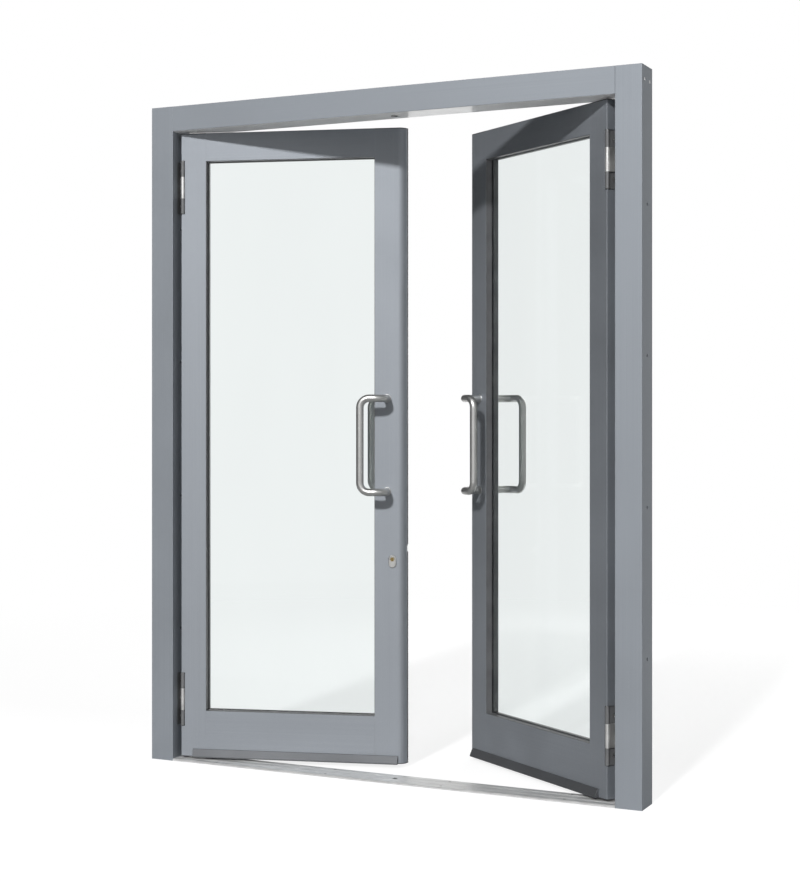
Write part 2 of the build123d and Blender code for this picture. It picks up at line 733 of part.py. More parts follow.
    # Each gasket is an angle: one leg against the glass, the other a thin flap that lines the reveal
    glass_rear = glass_front + glass_thickness
    flap_end = leaf_thickness - bead_bevel - gasket_setback
    with BuildPart() as gaskets:
        for leg_start, flap_start, flap_length in (
            (lip_depth, gasket_setback, glass_front - gasket_setback),
            (glass_rear, glass_rear, flap_end - glass_rear),
        ):
            for start, length, margin in (
                (leg_start, gasket_thickness, edge_margin),
                (flap_start, flap_length, 0),
            ):
                with BuildSketch(facing(side, (hinge_stile_width + sight_end) / 2, start,
                                        (sight_bottom + sight_top) / 2)):
                    Rectangle(sight_width + 2 * margin, sight_height + 2 * margin)
                    Rectangle(sight_width - 2 * gasket_flap, sight_height - 2 * gasket_flap, mode=Mode.SUBTRACT)
                extrude(amount=-hand * length)
    keep(gaskets, f"{side}_glazing_gaskets")

    with BuildPart() as blocks:
        block_height = sight_bottom - rebate_depth
        with BuildSketch(plan(side, (hinge_stile_width + sight_end) / 2, glass_front + glass_thickness / 2,
                              block_height)):
            with GridLocations(sight_width / 2, 0, 2, 1):
                Rectangle(setting_block_length, glass_thickness)
        extrude(amount=hand * glass_clearance)
    keep(blocks, f"{side}_setting_blocks")

    with BuildPart() as beads:
        bead_front = leaf_thickness - lip_depth
        for height, inward in ((sight_bottom, -1), (sight_top, 1)):
            with BuildSketch(across(side, body_start + bead_play, height)):
                with BuildLine():
                    Polyline(
                        (bead_front, 0),
                        (leaf_thickness - bead_bevel, 0),
                        (leaf_thickness, inward * bead_bevel),
                        (leaf_thickness, inward * rebate_depth),
                        (bead_front, inward * rebate_depth),
                        close=True,
                    )
                make_face()
            extrude(amount=hand * (body_end - body_start - 2 * bead_play))
        for start, inward in ((hinge_stile_width, -1), (sight_end, 1)):
            with BuildSketch(plan(side, start, 0, sight_bottom + bead_play)):
                with BuildLine():
                    Polyline(
                        (0, bead_front),
                        (0, leaf_thickness - bead_bevel),
                        (inward * bead_bevel, leaf_thickness),
                        (inward * rebate_depth, leaf_thickness),
                        (inward * rebate_depth, bead_front),
                        close=True,
                    )
                make_face()
            extrude(amount=hand * (sight_height - 2 * bead_play))
    keep(beads, f"{side}_glazing_beads")

    # Pull handles: one round bar, bent four times, screwed back to back through the stile
    for face, depth, outward in (("front", 0, -1), ("rear", leaf_thickness, 1)):
        reach = depth + outward * handle_projection
        crank = handle_start - handle_crank
        route_points = [
            leaf_point(side, handle_start, depth, handle_ends[0]),
            leaf_point(side, handle_start, reach, handle_ends[0]),
            leaf_point(side, crank, reach, handle_ends[0]),
            leaf_point(side, crank, reach, handle_ends[1]),
            leaf_point(side, handle_start, reach, handle_ends[1]),
            leaf_point(side, handle_start, depth, handle_ends[1]),
        ]
        with BuildPart() as handle:
            with BuildLine() as route:
                FilletPolyline(*route_points, radius=handle_bend)
            with BuildSketch(Plane(origin=route_points[0], z_dir=rear(side) * outward)):
                Circle(handle_radius)
            sweep(path=route.wire())
            with BuildSketch(facing(side, handle_start, depth, 0)):
                with Locations(*[(0, height) for height in handle_ends]):
                    Circle(stud_radius + stud_play)
            extrude(amount=-hand * outward * stud_grip, mode=Mode.SUBTRACT)
        keep(handle, f"{side}_{face}_pull_handle")

    with BuildPart() as studs:
        with BuildSketch(facing(side, handle_start, -stud_grip + stud_play, 0)):
            with Locations(*[(0, height) for height in handle_ends]):
                Circle(stud_radius)
        extrude(amount=-hand * (leaf_thickness + 2 * (stud_grip - stud_play)))
    keep(studs, f"{side}_handle_studs")

    # Foot of the leaf: a weather bar on the front face and a brush in the rail's groove
    with BuildPart() as drip_bar:
        with BuildSketch(across(side, drip_bar_start, leaf_bottom)):
            with BuildLine():
                Polyline(
                    (0, 0),
                    (-drip_bar_depth, 0),
                    (-drip_bar_depth, drip_bar_top),
                    (-drip_bar_top, drip_bar_height),
                    (0, drip_bar_height),
                    close=True,
                )
            make_face()
        extrude(amount=hand * (leaf_width - nose_radius - drip_bar_start))
    keep(drip_bar, f"{side}_drip_bar")

    with BuildPart() as brush:
        with BuildSketch(across(side, body_start, leaf_bottom)):
            with Locations((leaf_thickness / 2, (brush_groove - brush_drop) / 2)):
                Rectangle(brush_width - 2 * brush_play, brush_groove + brush_drop)
        extrude(amount=hand * (body_end - body_start))
    keep(brush, f"{side}_bottom_brush")

# Seal in the left leaf's nose, parted where the deadbolt comes out
with BuildPart() as seal:
    with BuildSketch(plan("left", leaf_width, leaf_thickness / 2, leaf_bottom)):
        with Locations(((seal_drop - seal_groove) / 2, 0)):
            Rectangle(seal_drop + seal_groove, seal_width - 2 * brush_play)
    extrude(amount=leaf_top - leaf_bottom)
    with BuildSketch(facing("left", leaf_width, 0, deadbolt_height_at)):
        Rectangle(leaf_thickness, deadbolt_height + 4 * strike_play)
    extrude(amount=-leaf_thickness, mode=Mode.SUBTRACT)
keep(seal, "meeting_seal")

# Lock of the left leaf: case, profile cylinder with a turning plug, thumb turn and deadbolt
lock_s = leaf_width - lock_setback
plug_height = lock_height + plug_rise
case_front = leaf_width - case_setback
case_rear = leaf_width - meeting_stile_width + rebate_depth + profile_wall
deadbolt_rear = leaf_width - deadbolt_inset - deadbolt_length
with BuildPart() as lock_case:
    with BuildSketch(facing("left", (case_front + case_rear) / 2, (leaf_thickness - case_thickness) / 2,
                            lock_height + deadbolt_rise / 2)):
        Rectangle(case_front - case_rear, case_height)
    extrude(amount=-case_thickness)
    with BuildSketch(facing("left", lock_s, -overrun, lock_height)):
        SlotOverall(cylinder_height + 2 * lock_play, cylinder_width + 2 * lock_play, rotation=90)
    extrude(amount=-(leaf_thickness + 2 * overrun), mode=Mode.SUBTRACT)
    with BuildSketch(across("left", deadbolt_rear - deadbolt_play, deadbolt_height_at)):
        with Locations((leaf_thickness / 2, 0)):
            Rectangle(deadbolt_thickness + 2 * deadbolt_play, deadbolt_height + 2 * deadbolt_play)
    extrude(amount=nose_radius + deadbolt_length, mode=Mode.SUBTRACT)
keep(lock_case, "lock_case")

with BuildPart() as deadbolt:
    with BuildSketch(across("left", deadbolt_rear, deadbolt_height_at)):
        with Locations((leaf_thickness / 2, 0)):
            RectangleRounded(deadbolt_thickness, deadbolt_height, deadbolt_edge)
    extrude(amount=deadbolt_length)
keep(deadbolt, "deadbolt")

with BuildPart() as cylinder:
    with BuildSketch(facing("left", lock_s, -cylinder_stand, lock_height)):
        SlotOverall(cylinder_height, cylinder_width, rotation=90)
        with Locations((0, plug_rise)):
            Circle(plug_radius + pin_play, mode=Mode.SUBTRACT)
    extrude(amount=-(leaf_thickness + 2 * cylinder_stand))
keep(cylinder, "lock_cylinder")

with BuildPart() as plug:
    with BuildSketch(facing("left", lock_s, -cylinder_stand - plug_stand, plug_height)):
        Circle(plug_radius)
    extrude(amount=-(leaf_thickness + 2 * cylinder_stand + plug_stand))
    with BuildSketch(facing("left", lock_s, -cylinder_stand - plug_stand, plug_height)):
        Rectangle(key_slot_width, key_slot_height)
    extrude(amount=-key_slot_depth, mode=Mode.SUBTRACT)
keep(plug, "lock_plug")

with BuildPart() as thumb_turn:
    with BuildSketch(facing("left", lock_s, leaf_thickness + cylinder_stand, plug_height)):
        Circle(turn_stem_radius)
    extrude(amount=-turn_stem)
    with BuildSketch(facing("left", lock_s, leaf_thickness + cylinder_stand + turn_stem, plug_height)):
        SlotOverall(turn_length, turn_width, rotation=90)
    extrude(amount=-turn_depth)
    fillet(thumb_turn.faces().sort_by(Axis(leaf_point("left", 0, 0, 0), rear("left")))[-1].edges(),
           radius=turn_width / 4)
keep(thumb_turn, "thumb_turn")

with BuildPart() as escutcheons:
    for depth, outward in ((0, 1), (leaf_thickness, -1)):
        with BuildSketch(facing("left", lock_s, depth, lock_height)):
            SlotOverall(cylinder_height + 2 * escutcheon_margin, cylinder_width + 2 * escutcheon_margin,
                        rotation=90)
        extrude(amount=outward * escutcheon_thickness)
        rim = escutcheons.faces().sort_by(Axis(leaf_point("left", 0, 0, 0), rear("left")))
        chamfer(rim[0 if outward > 0 else -1].edges(), length=escutcheon_bevel)
    with BuildSketch(facing("left", lock_s, -overrun - escutcheon_thickness, lock_height)):
        SlotOverall(cylinder_height + 2 * lock_play, cylinder_width + 2 * lock_play, rotation=90)
    extrude(amount=-(leaf_thickness + 2 * (escutcheon_thickness + overrun)), mode=Mode.SUBTRACT)
keep(escutcheons, "cylinder_escutcheons")

# Strike box behind the slot in the right leaf's nose
strike_half = deadbolt_thickness / 2 + strike_play + strike_wall
strike_reach = math.sqrt((nose_radius - profile_wall - cap_play) ** 2 - strike_half ** 2)
strike_front = leaf_width - nose_radius + strike_reach
with BuildPart() as strike_box:
    with BuildSketch(across("right", strike_front, deadbolt_height_at)):
        with Locations((leaf_thickness / 2, 0)):
            Rectangle(2 * strike_half, deadbolt_height + 2 * (strike_play + strike_wall))
    extrude(amount=strike_depth + strike_wall)
    with BuildSketch(across("right", strike_front, deadbolt_height_at)):
        with Locations((leaf_thickness / 2, 0)):
            Rectangle(deadbolt_thickness + 2 * strike_play, deadbolt_height + 2 * strike_play)
    extrude(amount=strike_depth, mode=Mode.SUBTRACT)
keep(strike_box, "strike_box")

# Flush bolts of the right leaf: a rod with a thumb knob in a slot of the nose, run in a guide and a cap
rod_s = leaf_width - rod_setback
for end in bolt_travels:
    up = 1 if end == "top" else -1
    tip = leaf_top - bolt_inset if end == "top" else leaf_bottom + bolt_inset
    with BuildPart() as flush_bolt:
        with BuildSketch(plan("right", rod_s, leaf_thickness / 2, tip)):
            Circle(bolt_radius)
        extrude(amount=up * (bolt_length - bolt_inset))
        with BuildSketch(across("right", rod_s, knob_centres[end])):
            with Locations((leaf_thickness / 2, 0)):
                Rectangle(knob_width, knob_height)
        extrude(amount=-(nose_radius - knob_reach_play))
    keep(flush_bolt, f"{end}_flush_bolt")

with BuildPart() as guides:
    for end in bolt_travels:
        foot = leaf_top - bolt_length if end == "top" else leaf_bottom + bolt_length - guide_height
        extrude(meeting_stile_hollow(plan("right", leaf_width, 0, foot, toward=-1), cap_play),
                amount=guide_height)
    with BuildSketch(plan("right", rod_s, leaf_thickness / 2, leaf_bottom)):
        Rectangle(guide_length, leaf_thickness)
        Circle(bolt_radius + bolt_play, mode=Mode.SUBTRACT)
    extrude(amount=-(leaf_top - leaf_bottom), mode=Mode.INTERSECT)
keep(guides, "bolt_guides")
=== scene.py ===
import math

import bmesh
import bpy
from mathutils import Matrix, Vector


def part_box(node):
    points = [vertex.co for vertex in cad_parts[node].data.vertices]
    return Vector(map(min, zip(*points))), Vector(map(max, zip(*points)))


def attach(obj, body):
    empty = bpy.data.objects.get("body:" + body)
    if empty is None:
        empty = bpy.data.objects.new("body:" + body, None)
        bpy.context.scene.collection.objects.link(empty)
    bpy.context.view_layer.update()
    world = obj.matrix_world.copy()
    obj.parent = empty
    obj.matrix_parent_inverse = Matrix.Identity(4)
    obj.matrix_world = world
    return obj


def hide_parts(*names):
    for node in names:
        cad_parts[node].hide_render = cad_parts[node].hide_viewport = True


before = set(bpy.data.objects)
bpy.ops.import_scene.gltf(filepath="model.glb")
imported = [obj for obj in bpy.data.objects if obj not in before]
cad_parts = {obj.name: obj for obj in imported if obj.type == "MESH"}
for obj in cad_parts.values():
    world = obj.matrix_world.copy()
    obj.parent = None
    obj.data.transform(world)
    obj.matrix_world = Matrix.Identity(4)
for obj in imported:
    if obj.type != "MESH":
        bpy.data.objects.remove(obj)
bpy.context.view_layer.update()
scene = bpy.context.scene


# Camera at the height of a person's chest, in front of the right jamb, level, with a long lens
# so that the uprights stay upright. The lens axis sits a little below the middle of the picture.
eye_place = (2.2728, -4.674, 1.1547)
eye_turn = 25.48
lens_length = 68.12
eye_shift = -0.03535
camera_data = bpy.data.cameras.new("eye")
camera_data.lens = lens_length
camera_data.sensor_width = 36.0
camera_data.sensor_fit = "AUTO"
camera_data.shift_y = eye_shift
camera = bpy.data.objects.new("eye", camera_data)
camera.location = eye_place
camera.rotation_euler = (math.radians(90), 0, math.radians(eye_turn))
scene.collection.objects.link(camera)
scene.camera = camera


# Jambs and head of the frame: hollow aluminium extrusions, powder coated in a silver grey that
# holds fine metal flakes. The head is cut square between the jambs and screwed through them.
silver_coat = (0.328, 0.352, 0.383, 1.0)
# The underside of the head gets a near-white colour, less metal and a glossy clear coat. This is painted
# light standing in for the bright bounce off the floor; the real head wears the silver coat all round.
soffit_painted_light = (0.94, 0.94, 0.94, 1.0)
soffit_metal = 0.05
soffit_gloss_roughness = 0.15
coat_roughness = 0.65
coat_metal = 0.85
flake_scale = 1500.0
cloud_scale = 3.5
die_line_scale = 420.0
die_line_run = 1.2
rub_scale = 24.0
mm = 0.001
edge_rounding = 1.2 * mm
grain_depth = 0.2 * mm


def put(tree, kind, inputs=None, **settings):
    made = tree.nodes.new(kind)
    for name, value in settings.items():
        setattr(made, name, value)
    for key, value in (inputs or {}).items():
        if isinstance(value, bpy.types.NodeSocket):
            tree.links.new(value, made.inputs[key])
        else:
            made.inputs[key].default_value = value
    return made


def blank_material(name):
    material = bpy.data.materials.new(name)
    material.use_nodes = True
    tree = material.node_tree
    return material, tree, tree.nodes["Principled BSDF"], put(tree, "ShaderNodeTexCoord").outputs["Object"]


def noise(tree, place, scale, detail=2.0, stretch=None):
    if stretch:
        place = put(tree, "ShaderNodeMapping", {"Vector": place, "Scale": stretch}).outputs[0]
    return put(tree, "ShaderNodeTexNoise", {"Vector": place, "Scale": scale, "Detail": detail}).outputs[0]


def spread(tree, value, low, high, start=0.3, end=0.7):
    made = put(tree, "ShaderNodeMapRange",
               {"Value": value, "From Min": start, "From Max": end, "To Min": low, "To Max": high})
    return made.outputs[0]


def worked_out(tree, operation, first, second):
    return put(tree, "ShaderNodeMath", {0: first, 1: second}, operation=operation).outputs[0]


def product(tree, first, second):
    return worked_out(tree, "MULTIPLY", first, second)


def pressed_in(tree, strength, depth, height, normal=None):
    bump = put(tree, "ShaderNodeBump", {"Strength": strength, "Distance": depth, "Height": height})
    if normal is not None:
        tree.links.new(normal, bump.inputs["Normal"])
    return bump.outputs[0]


def tinted(tree, shader, colour, tone):
    made = put(tree, "ShaderNodeHueSaturation", {"Value": tone, "Color": colour})
    tree.links.new(made.outputs[0], shader.inputs["Base Color"])


def edges_worn(tree, radius):
    rounded = put(tree, "ShaderNodeBevel", {"Radius": radius}, samples=4).outputs[0]
    flat = put(tree, "ShaderNodeNewGeometry").outputs["True Normal"]
    level = put(tree, "ShaderNodeVectorMath", {0: rounded, 1: flat}, operation="DOT_PRODUCT")
    return rounded, spread(tree, level.outputs["Value"], 1.0, 0.0, 0.8, 0.99)


def coated(name, colour, turn=0.0, upright=True, painted_light_below=None):
    material, tree, shader, place = blank_material(name)
    turned = put(tree, "ShaderNodeMapping", {"Vector": place, "Rotation": (0, 0, -turn)}).outputs[0]
    ends = (die_line_scale, die_line_run) if upright else (die_line_run, die_line_scale)
    die_lines = noise(tree, turned, 1.0, 3.0, (ends[0], die_line_scale, ends[1]))
    flakes = noise(tree, place, flake_scale, 1.0)
    clouds = noise(tree, place, cloud_scale, 4.0)
    rounded, edge = edges_worn(tree, edge_rounding)
    rubbed = product(tree, edge, spread(tree, noise(tree, place, rub_scale, 4.0), 0.0, 1.0, 0.42, 0.6))
    tone = product(tree, spread(tree, flakes, 0.9, 1.1), spread(tree, clouds, 0.965, 1.035))
    tone = product(tree, tone, spread(tree, die_lines, 0.975, 1.025))
    tone = product(tree, tone, spread(tree, rubbed, 1.0, 1.18, 0.0, 1.0))
    shader.inputs["Metallic"].default_value = coat_metal
    # Faces turned downwards are painted near white as painted light, with less metal and a clear coat.
    if painted_light_below:
        flat = put(tree, "ShaderNodeNewGeometry").outputs["True Normal"]
        level = put(tree, "ShaderNodeSeparateXYZ", {0: flat}).outputs["Z"]
        painted_light_under = spread(tree, level, 1.0, 0.0, -0.95, -0.6)
        painted_light_mix = put(tree, "ShaderNodeMix", {0: painted_light_under, 6: colour, 7: painted_light_below}, data_type="RGBA")
        colour = painted_light_mix.outputs[2]
        tree.links.new(spread(tree, painted_light_under, coat_metal, soffit_metal, 0.0, 1.0), shader.inputs["Metallic"])
        tree.links.new(painted_light_under, shader.inputs["Coat Weight"])
        shader.inputs["Coat Roughness"].default_value = soffit_gloss_roughness
    tinted(tree, shader, colour, tone)
    rough = product(tree, spread(tree, clouds, coat_roughness - 0.04, coat_roughness + 0.04),
                    spread(tree, rubbed, 1.0, 0.8, 0.0, 1.0))
    tree.links.new(rough, shader.inputs["Roughness"])
    grain = pressed_in(tree, 0.12, grain_depth, flakes, rounded)
    tree.links.new(pressed_in(tree, 0.05, grain_depth, die_lines, grain), shader.inputs["Normal"])
    return material


def dress(material, *names):
    for name in names:
        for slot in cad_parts[name].material_slots:
            slot.material = material


dress(coated("jamb_coat", silver_coat), "frame_left_jamb", "frame_right_jamb")
dress(coated("head_coat", silver_coat, upright=False, painted_light_below=soffit_painted_light), "frame_head")


# Cleats in the ends of the head, cast in aluminium and left raw, and the plastic plugs that close
# the ends of the jambs, moulded with a fine grain.
def bare_metal(name, colour, roughness, pattern=(90, 90, 90), bump=0.15, metal=1.0):
    material, tree, shader, place = blank_material(name)
    grain = noise(tree, place, 6.0, 4.0, pattern)
    stains = noise(tree, place, 30.0, 4.0)
    rounded, edge = edges_worn(tree, edge_rounding / 2)
    tone = product(tree, spread(tree, grain, 0.9, 1.1), spread(tree, stains, 0.94, 1.04))
    tinted(tree, shader, colour, product(tree, tone, spread(tree, edge, 1.0, 1.12, 0.0, 1.0)))
    shader.inputs["Metallic"].default_value = metal
    tree.links.new(spread(tree, stains, roughness * 0.85, roughness * 1.2), shader.inputs["Roughness"])
    tree.links.new(pressed_in(tree, bump, grain_depth, grain, rounded), shader.inputs["Normal"])
    return material


def moulded(name, colour, roughness, grain_scale, bump=0.3):
    material, tree, shader, place = blank_material(name)
    grain = noise(tree, place, grain_scale, 2.0)
    dust = noise(tree, place, 18.0, 5.0)
    tone = product(tree, spread(tree, grain, 0.85, 1.15), spread(tree, dust, 0.85, 1.25))
    tinted(tree, shader, colour, tone)
    tree.links.new(spread(tree, dust, roughness - 0.06, roughness + 0.08), shader.inputs["Roughness"])
    tree.links.new(pressed_in(tree, bump, 0.3 * mm, grain), shader.inputs["Normal"])
    return material


dress(bare_metal("raw_casting", (0.42, 0.42, 0.42, 1), 0.6, (60, 60, 60), 0.4), "head_cleats")
dress(moulded("plug_plastic", (0.06, 0.062, 0.066, 1), 0.55, 900.0), "jamb_plugs")


# Threshold: a flat bevelled plate of raw aluminium between the jambs, screwed to the floor. Two bands of
# half-round ribs are rolled into its top along its length, clear of the screws and the bolt's keep.
rib_count = 4
rib_spacing = 4.5 * mm
rib_width = 2.4 * mm
rib_height = 0.35 * mm
rib_length = 1.5
rib_band_middle = 19.0 * mm
threshold_top = 7.0 * mm


def size_tree(name, sizes):
    tree = bpy.data.node_groups.new(name, "GeometryNodeTree")
    tree.interface.new_socket("Geometry", in_out="INPUT", socket_type="NodeSocketGeometry")
    for size, value in sizes.items():
        kind = "NodeSocketInt" if isinstance(value, int) else "NodeSocketFloat"
        tree.interface.new_socket(size, in_out="INPUT", socket_type=kind)
    tree.interface.new_socket("Geometry", in_out="OUTPUT", socket_type="NodeSocketGeometry")
    return tree, tree.nodes.new("NodeGroupInput").outputs


def close_tree(tree, shape, material):
    whole = put(tree, "GeometryNodeRealizeInstances", {"Geometry": shape})
    painted = put(tree, "GeometryNodeSetMaterial", {"Geometry": whole.outputs[0], "Material": material})
    put(tree, "NodeGroupOutput", {0: painted.outputs[0]})


def grown(name, tree, sizes, material, place=None, seeds=None):
    start = bpy.data.meshes.new(name)
    if seeds:
        start.from_pydata([point for point, turn in seeds], [], [])
        turns = start.attributes.new("turn", "FLOAT_VECTOR", "POINT")
        for index, (point, turn) in enumerate(seeds):
            turns.data[index].vector = turn
    piece = bpy.data.objects.new(name, start)
    scene.collection.objects.link(piece)
    modifier = piece.modifiers.new("grow", "NODES")
    modifier.node_group = tree
    for socket in tree.interface.items_tree:
        if socket.in_out == "INPUT" and socket.name in sizes:
            modifier[socket.identifier] = sizes[socket.name]
    bpy.context.view_layer.update()
    grown_piece = piece.evaluated_get(bpy.context.evaluated_depsgraph_get())
    mesh = bpy.data.meshes.new_from_object(grown_piece)
    piece.modifiers.remove(modifier)
    piece.data = mesh
    mesh.name = name
    if place:
        mesh.transform(place)
    shell = bmesh.new()
    shell.from_mesh(mesh)
    bmesh.ops.remove_doubles(shell, verts=shell.verts, dist=1e-6)
    bmesh.ops.recalc_face_normals(shell, faces=shell.faces)
    shell.to_mesh(mesh)
    shell.free()
    mesh.materials.clear()
    mesh.materials.append(material)
    return piece


def at_seeds(tree, given, shape):
    turn = put(tree, "GeometryNodeInputNamedAttribute", {"Name": "turn"}, data_type="FLOAT_VECTOR")
    turned = put(tree, "FunctionNodeEulerToRotation", {0: turn.outputs[0]})
    placed = put(tree, "GeometryNodeInstanceOnPoints",
                 {"Points": given["Geometry"], "Instance": shape, "Rotation": turned.outputs[0]})
    return placed.outputs[0]


def numbers(tree, x=0.0, y=0.0, z=0.0):
    return put(tree, "ShaderNodeCombineXYZ", {0: x, 1: y, 2: z}).outputs[0]


threshold_metal = bare_metal("threshold_metal", (0.78, 0.78, 0.775, 1), 0.36, (0.6, 160, 160), 0.12, 0.6)
dress(threshold_metal, "threshold")
rib_sizes = {"Count": rib_count, "Spacing": rib_spacing, "Length": rib_length,
             "Width": rib_width, "Height": rib_height}
tree, given = size_tree("threshold_ribs", rib_sizes)
rib_gaps = worked_out(tree, "SUBTRACT", given["Count"], 1.0)
half_run = product(tree, rib_gaps, product(tree, given["Spacing"], -0.5))
row = put(tree, "GeometryNodeMeshLine",
          {"Count": given["Count"], "Start Location": numbers(tree, y=half_run),
           "Offset": numbers(tree, y=given["Spacing"])})
half_width = product(tree, given["Width"], 0.5)
bar = put(tree, "GeometryNodeMeshCylinder", {"Vertices": 12, "Radius": half_width, "Depth": given["Length"]})
laid = put(tree, "GeometryNodeTransform", {"Geometry": bar.outputs[0], "Rotation": (0, math.pi / 2, 0)})
flatness = worked_out(tree, "DIVIDE", given["Height"], half_width)
pressed = put(tree, "GeometryNodeTransform",
              {"Geometry": laid.outputs[0], "Scale": numbers(tree, 1.0, 1.0, flatness)})
ribs = put(tree, "GeometryNodeInstanceOnPoints", {"Points": row.outputs[0], "Instance": pressed.outputs[0]})
close_tree(tree, at_seeds(tree, given, ribs.outputs[0]), threshold_metal)
rib_seeds = [((0, y, threshold_top), (0, 0, 0)) for y in (-rib_band_middle, rib_band_middle)]
threshold_ribs = grown("threshold_ribs", tree, rib_sizes, threshold_metal, seeds=rib_seeds)
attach(threshold_ribs, "frame")


# Screws of the threshold, the hinges and the frame's corners: countersunk steel screws with a cross
# recess, pressed from wire and zinc plated. They sit flush in their seats.
screw_sizes = {"Head radius": 4.8 * mm, "Shank radius": 2.5 * mm, "Head height": 2.3 * mm,
               "Shank length": 9.0 * mm, "Recess length": 5.4 * mm, "Recess width": 1.1 * mm,
               "Recess depth": 1.3 * mm}
screw_steel = bare_metal("screw_steel", (0.5, 0.5, 0.49, 1), 0.32, (200, 200, 200), 0.08)


def facing(direction):
    return tuple(Vector(direction).to_track_quat("Z", "Y").to_euler())


screw_tree, given = size_tree("recessed_screw", screw_sizes)
cone = put(screw_tree, "GeometryNodeMeshCone", {"Vertices": 24, "Radius Top": given["Head radius"],
                                                "Radius Bottom": given["Shank radius"],
                                                "Depth": given["Head height"]})
sunk = put(screw_tree, "GeometryNodeTransform",
           {"Geometry": cone.outputs[0],
            "Translation": numbers(screw_tree, z=product(screw_tree, given["Head height"], -1.0))})
deep = product(screw_tree, given["Recess depth"], 2.0)
slots = []
for first, second in (("Recess length", "Recess width"), ("Recess width", "Recess length")):
    slot_size = numbers(screw_tree, given[first], given[second], deep)
    slots.append(put(screw_tree, "GeometryNodeMeshCube", {"Size": slot_size}).outputs[0])
driven = put(screw_tree, "GeometryNodeMeshBoolean", {"Mesh 1": sunk.outputs[0], "Mesh 2": slots[0]},
             operation="DIFFERENCE")
screw_tree.links.new(slots[1], driven.inputs["Mesh 2"])
shank = put(screw_tree, "GeometryNodeMeshCylinder", {"Vertices": 12, "Radius": given["Shank radius"],
                                                     "Depth": given["Shank length"]})
half_shank = product(screw_tree, given["Shank length"], -0.5)
shank_drop = worked_out(screw_tree, "SUBTRACT", half_shank, given["Head height"])
hung = put(screw_tree, "GeometryNodeTransform",
           {"Geometry": shank.outputs[0], "Translation": numbers(screw_tree, z=shank_drop)})
whole_screw = put(screw_tree, "GeometryNodeJoinGeometry", {0: driven.outputs[0]})
screw_tree.links.new(hung.outputs[0], whole_screw.inputs[0])
close_tree(screw_tree, at_seeds(screw_tree, given, whole_screw.outputs[0]), screw_steel)

up = facing((0, 0, 1))
threshold_screw_places = (-598.0, -199.333, 199.333, 598.0)
threshold_screw_offset = 34.0
threshold_seeds = []
for x in threshold_screw_places:
    for y in (-threshold_screw_offset, threshold_screw_offset):
        threshold_seeds.append(((x * mm, y * mm, threshold_top), up))
plate_sizes = dict(screw_sizes)
plate_sizes["Shank length"] = 4.6 * mm
threshold_screws = grown("threshold_screw_set", screw_tree, plate_sizes, screw_steel, seeds=threshold_seeds)
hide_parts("threshold_screws")
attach(threshold_screws, "frame")

frame_half_width = 840.0
head_middle = 2109.0
corner_screw_offset = 25.0
corner_seeds = []
for end in (-1, 1):
    for y in (-corner_screw_offset, corner_screw_offset):
        spot = (end * frame_half_width * mm, y * mm, head_middle * mm)
        corner_seeds.append((spot, facing((end, 0, 0))))
corner_sizes = dict(screw_sizes)
corner_sizes["Shank length"] = 122.0 * mm
corner_screws = grown("corner_screw_set", screw_tree, corner_sizes, screw_steel, seeds=corner_seeds)
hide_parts("head_screws")
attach(corner_screws, "frame")


# Hinges: each leaf hangs on two, three dark iron castings on two barrels. The bright middle knuckles
# belong to a link between the barrels, the dark outer ones to plates let into jamb and stile.
hands = {"left": 1, "right": -1}
opened = {"left": math.radians(15.5), "right": math.radians(34.5)}
hinge_heights = (200.0, 1885.0)
plate_screw_rise = 58.0
leaf_depth = 54.0
jamb_inner = 758.0
jamb_barrel = (749.0, 22.0)
barrel_along = 4.0
barrel_depth = 49.0


def leaf_place(side):
    hand = hands[side]
    along = Vector((hand * math.cos(opened[side]), math.sin(opened[side]), 0))
    rear = Vector((-hand * math.sin(opened[side]), math.cos(opened[side]), 0))
    barrel = Vector((-hand * jamb_barrel[0], jamb_barrel[1], 0))
    corner = barrel - along * barrel_along - rear * barrel_depth
    place = Matrix((along, rear, (0, 0, 1))).transposed().to_4x4()
    place.translation = corner * mm
    return place


hinge_iron = bare_metal("hinge_iron", (0.175, 0.178, 0.182, 1), 0.55, (50, 50, 50), 0.35, 0.5)
link_metal = bare_metal("link_metal", (0.68, 0.68, 0.67, 1), 0.55, (160, 160, 8), 0.1)
pin_steel = bare_metal("pin_steel", (0.48, 0.48, 0.47, 1), 0.3, (120, 120, 120), 0.1)
dress(pin_steel, "hinge_jamb_pins")
jamb_screw_seeds = []
for side, hand in hands.items():
    dress(hinge_iron, f"{side}_hinge_jamb_flanges", f"{side}_hinge_leaf_flanges")
    dress(link_metal, f"{side}_hinge_links")
    dress(pin_steel, f"{side}_hinge_leaf_pins")
    leaf_seeds = []
    outward = leaf_place(side).to_3x3() @ Vector((-1, 0, 0))
    for height in hinge_heights:
        for rise in (-plate_screw_rise, 0, plate_screw_rise):
            spot = (-hand * jamb_inner * mm, 0, (height + rise) * mm)
            jamb_screw_seeds.append((spot, facing((hand, 0, 0))))
            spot = leaf_place(side) @ Vector((0, leaf_depth / 2 * mm, (height + rise) * mm))
            leaf_seeds.append((tuple(spot), facing(outward)))
    leaf_screws = grown(f"{side}_leaf_plate_screws", screw_tree, screw_sizes, screw_steel, seeds=leaf_seeds)
    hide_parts(f"{side}_hinge_leaf_screws")
    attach(leaf_screws, f"{side}_leaf")
jamb_screws = grown("jamb_plate_screws", screw_tree, screw_sizes, screw_steel, seeds=jamb_screw_seeds)
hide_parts("hinge_jamb_screws")
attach(jamb_screws, "frame")


